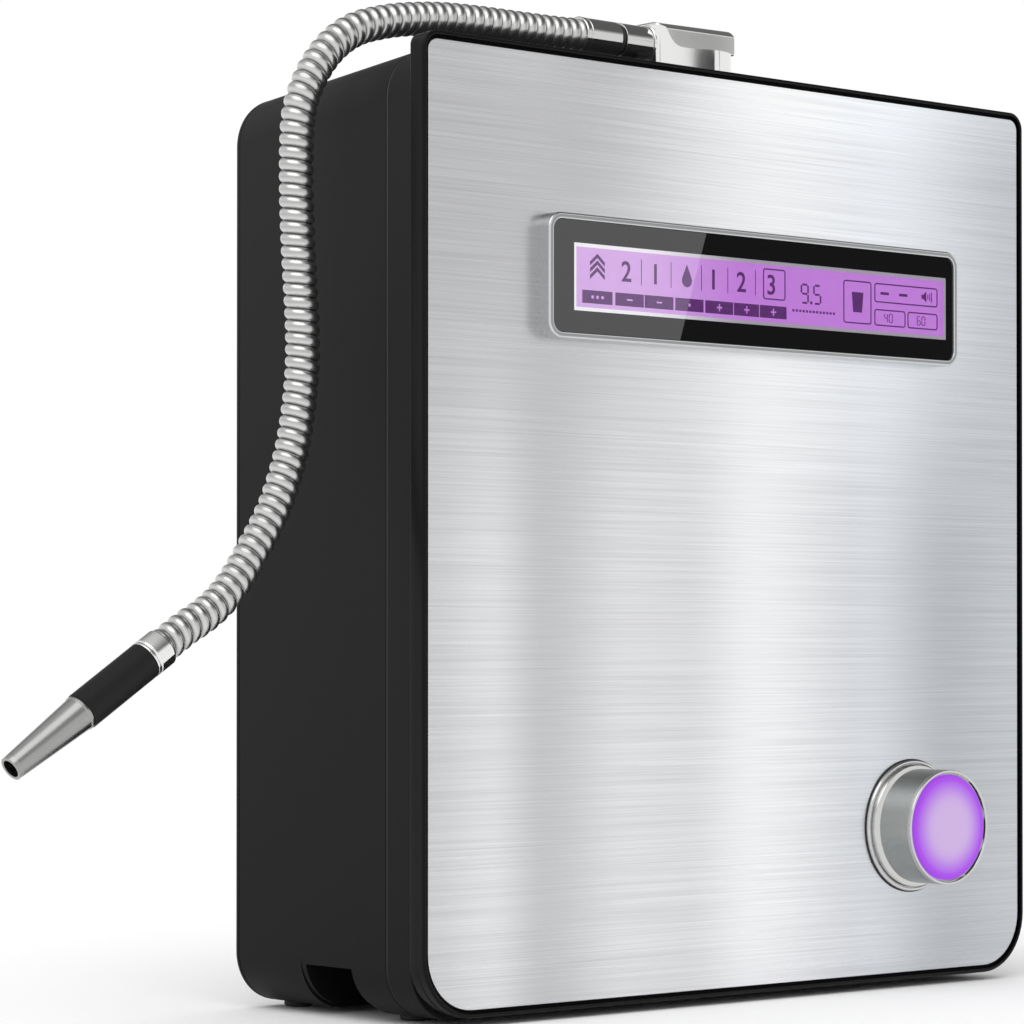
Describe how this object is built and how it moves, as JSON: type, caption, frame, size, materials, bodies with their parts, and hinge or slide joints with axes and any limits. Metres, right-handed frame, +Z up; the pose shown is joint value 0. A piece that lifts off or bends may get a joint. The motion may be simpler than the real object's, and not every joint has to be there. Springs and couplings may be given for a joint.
{
  "type": "water ionizer",
  "caption": "Countertop water ionizer: flat steel-fronted casing with lit display, flow knob and a swivel metal hose spout on top.",
  "frame": {"origin": "middle of the base of the box round the appliance without its free spout hose, on the surface it stands on", "axes": "+X to the right seen from the front, +Y from the front to the back, +Z up"},
  "size_m": [0.4363, 0.13, 0.3557],
  "materials": {
    "gloss_black": "gloss",
    "brushed_steel": "horizontal brushing",
    "matte_black": "fine matt",
    "silver_trim": "satin",
    "chrome": "polished",
    "nickel": "satin nickel",
    "display_glass": "gloss",
    "lit_window": "lit",
    "lit_lens": "lit translucent",
    "rubber": "matt",
    "grip_black": "satin",
    "circuit": "solder mask",
    "white_plastic": "moulded",
    "grey_plastic": "moulded",
    "zinc_steel": "zinc plated",
    "screw_steel": "black zinc",
    "brass": "turned",
    "titanium": "platinum coated",
    "silicone": "clear silicone"
  },
  "bodies": {
    "body": {"front_frame": "gloss_black", "front_panel": "brushed_steel", "panel_carrier": "gloss_black", "front_casing": "matte_black", "rear_casing": "matte_black", "hose_bay": "matte_black", "left_channel": "matte_black", "right_channel": "matte_black", "rear_cover": "matte_black", "cover_screws": "screw_steel", "filter_door": "matte_black", "door_screws": "screw_steel", "power_gland": "rubber", "gland_nut": "grey_plastic", "feet": "rubber", "display_bezel": "silver_trim", "display_glass": "display_glass", "lcd_panel": "lit_window", "display_board": "circuit", "knob_flange": "chrome", "knob_light_board": "circuit", "valve_body": "white_plastic", "valve_screws": "screw_steel", "outlet_ring": "chrome", "outlet_post": "chrome", "outlet_nut": "brass", "outlet_orings": "rubber", "inlet_fitting": "white_plastic", "drain_fitting": "grey_plastic", "chassis_plate": "zinc_steel", "filter_first": "white_plastic", "filter_second": "white_plastic", "filter_manifold": "grey_plastic", "filter_clips": "grey_plastic", "cell_housing": "grey_plastic", "cell_cover": "grey_plastic", "electrode_plates": "titanium", "power_supply": "zinc_steel", "main_board": "circuit", "board_standoffs": "brass", "inlet_valve": "white_plastic", "flow_sensor": "grey_plastic", "raw_tube": "silicone", "filtered_tube": "silicone", "alkaline_tube": "silicone", "outlet_tube": "silicone", "acid_tube": "silicone"},
    "knob": {"knob_body": "nickel", "knob_lens": "lit_lens", "valve_stem": "brass"},
    "spout": {"outlet_elbow": "chrome", "outlet_collar": "chrome", "spout_hose": "chrome", "hose_ferrule": "chrome", "nozzle_grip": "grip_black", "nozzle_tip": "nickel"}
  },
  "joints": [
    {"name": "knob_turn", "type": "hinge", "parent": "body", "child": "knob", "pos_m": [0.087, -0.055, 0.0602], "axis": [0, -1, 0], "range_deg": [0, 90]},
    {"name": "spout_swivel", "type": "hinge", "parent": "body", "child": "spout", "pos_m": [0.0125, -0.005, 0.34], "axis": [0, 0, 1], "range_deg": [-180, 6]}
  ]
}
